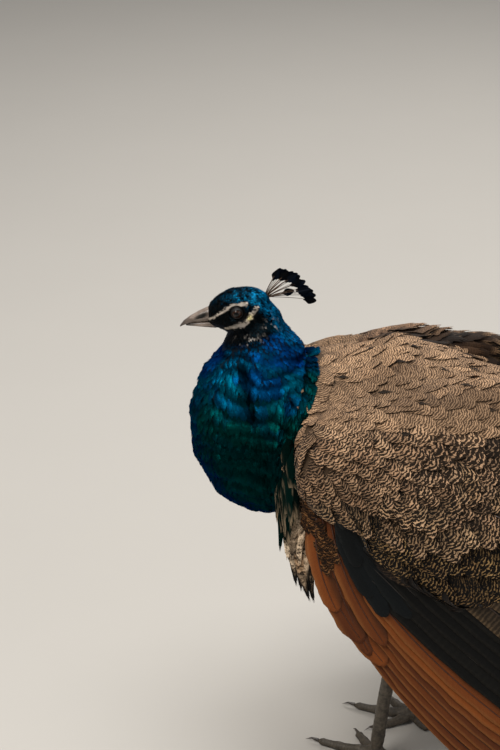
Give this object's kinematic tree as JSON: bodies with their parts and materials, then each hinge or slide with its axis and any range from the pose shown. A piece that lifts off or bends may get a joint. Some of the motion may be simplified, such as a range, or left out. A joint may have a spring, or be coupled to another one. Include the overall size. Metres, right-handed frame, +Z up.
{
  "type": "peafowl model",
  "caption": "Life-size still model of a young male Indian peafowl, standing with its neck drawn in, its wings let down over its flanks and its tail closed.",
  "frame": {"origin": "on the floor, under the middle of the bird's bounding box", "axes": "-X forwards, the way the bill points; +X back along the tail; -Y towards the bird's left; +Z up; the bird's middle plane is y = 0"},
  "size_m": [0.803, 0.3542, 0.5704],
  "materials": {
    "blue_feather": "glossy royal blue plumage with green sheen",
    "barred_feather": "matt buff plumage with fine dark bars",
    "chestnut_feather": "satin chestnut flight feathers",
    "black_feather": "satin black flight feathers with a green gloss",
    "buff_feather": "matt pale buff plumage",
    "brown_feather": "matt mottled brown plumage",
    "bill_horn": "smooth grey horn",
    "leg_scale": "grey-brown scaled skin",
    "eye_gloss": "wet dark brown",
    "claw_horn": "smooth dark horn"
  },
  "bodies": {
    "root": {"bill_lower": "bill_horn", "bill_upper": "bill_horn", "breast": "blue_feather", "claw_left_hind": "claw_horn", "claw_left_inner": "claw_horn", "claw_left_middle": "claw_horn", "claw_left_outer": "claw_horn", "claw_right_hind": "claw_horn", "claw_right_inner": "claw_horn", "claw_right_middle": "claw_horn", "claw_right_outer": "claw_horn", "crest": "blue_feather", "eye_left": "eye_gloss", "eye_right": "eye_gloss", "flank_left": "buff_feather", "flank_right": "buff_feather", "foot_left": "leg_scale", "foot_right": "leg_scale", "head": "blue_feather", "neck_lower": "blue_feather", "neck_upper": "blue_feather", "rump": "brown_feather", "shank_left": "leg_scale", "shank_right": "leg_scale", "tail_coverts": "brown_feather", "tail_feathers": "brown_feather", "thigh_left": "buff_feather", "thigh_right": "buff_feather", "trunk": "barred_feather", "undertail_coverts": "buff_feather", "wing_left_coverts": "barred_feather", "wing_left_hand_coverts": "chestnut_feather", "wing_left_primaries": "chestnut_feather", "wing_left_scapulars": "barred_feather", "wing_left_secondaries": "black_feather", "wing_left_tertials": "barred_feather", "wing_right_coverts": "barred_feather", "wing_right_hand_coverts": "chestnut_feather", "wing_right_primaries": "chestnut_feather", "wing_right_scapulars": "barred_feather", "wing_right_secondaries": "black_feather", "wing_right_tertials": "barred_feather"}
  },
  "joints": []
}
